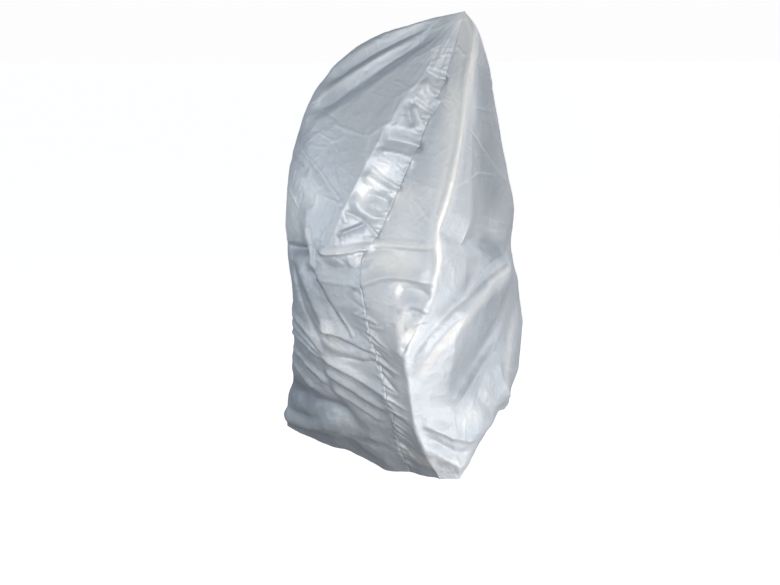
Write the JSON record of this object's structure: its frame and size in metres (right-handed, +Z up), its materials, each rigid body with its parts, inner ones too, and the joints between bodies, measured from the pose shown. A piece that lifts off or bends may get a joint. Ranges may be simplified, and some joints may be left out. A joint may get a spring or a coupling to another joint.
{
  "type": "hanging chair cover",
  "caption": "Hollow weather cover of coated cloth, draped from the tip of a hanging chair's stand down over the round seat, open at the hem, with sewn seams and uneven folds.",
  "frame": {"origin": "the underside of the cover's peak, where the tip of the chair's stand holds it up", "axes": "+Z up, +X to the side that the seat's open mouth faces, -Y to the side seen in the picture"},
  "size_m": [0.9844, 0.9108, 1.5768],
  "materials": {
    "pole_panel_cloth": "silver-grey coated polyester cloth, semi-gloss, finely creased",
    "mouth_panel_cloth": "silver-grey coated polyester cloth, semi-gloss, finely creased, a little warmer"
  },
  "bodies": {
    "root": {"pole_panel": "pole_panel_cloth", "mouth_panel": "mouth_panel_cloth"}
  },
  "joints": []
}
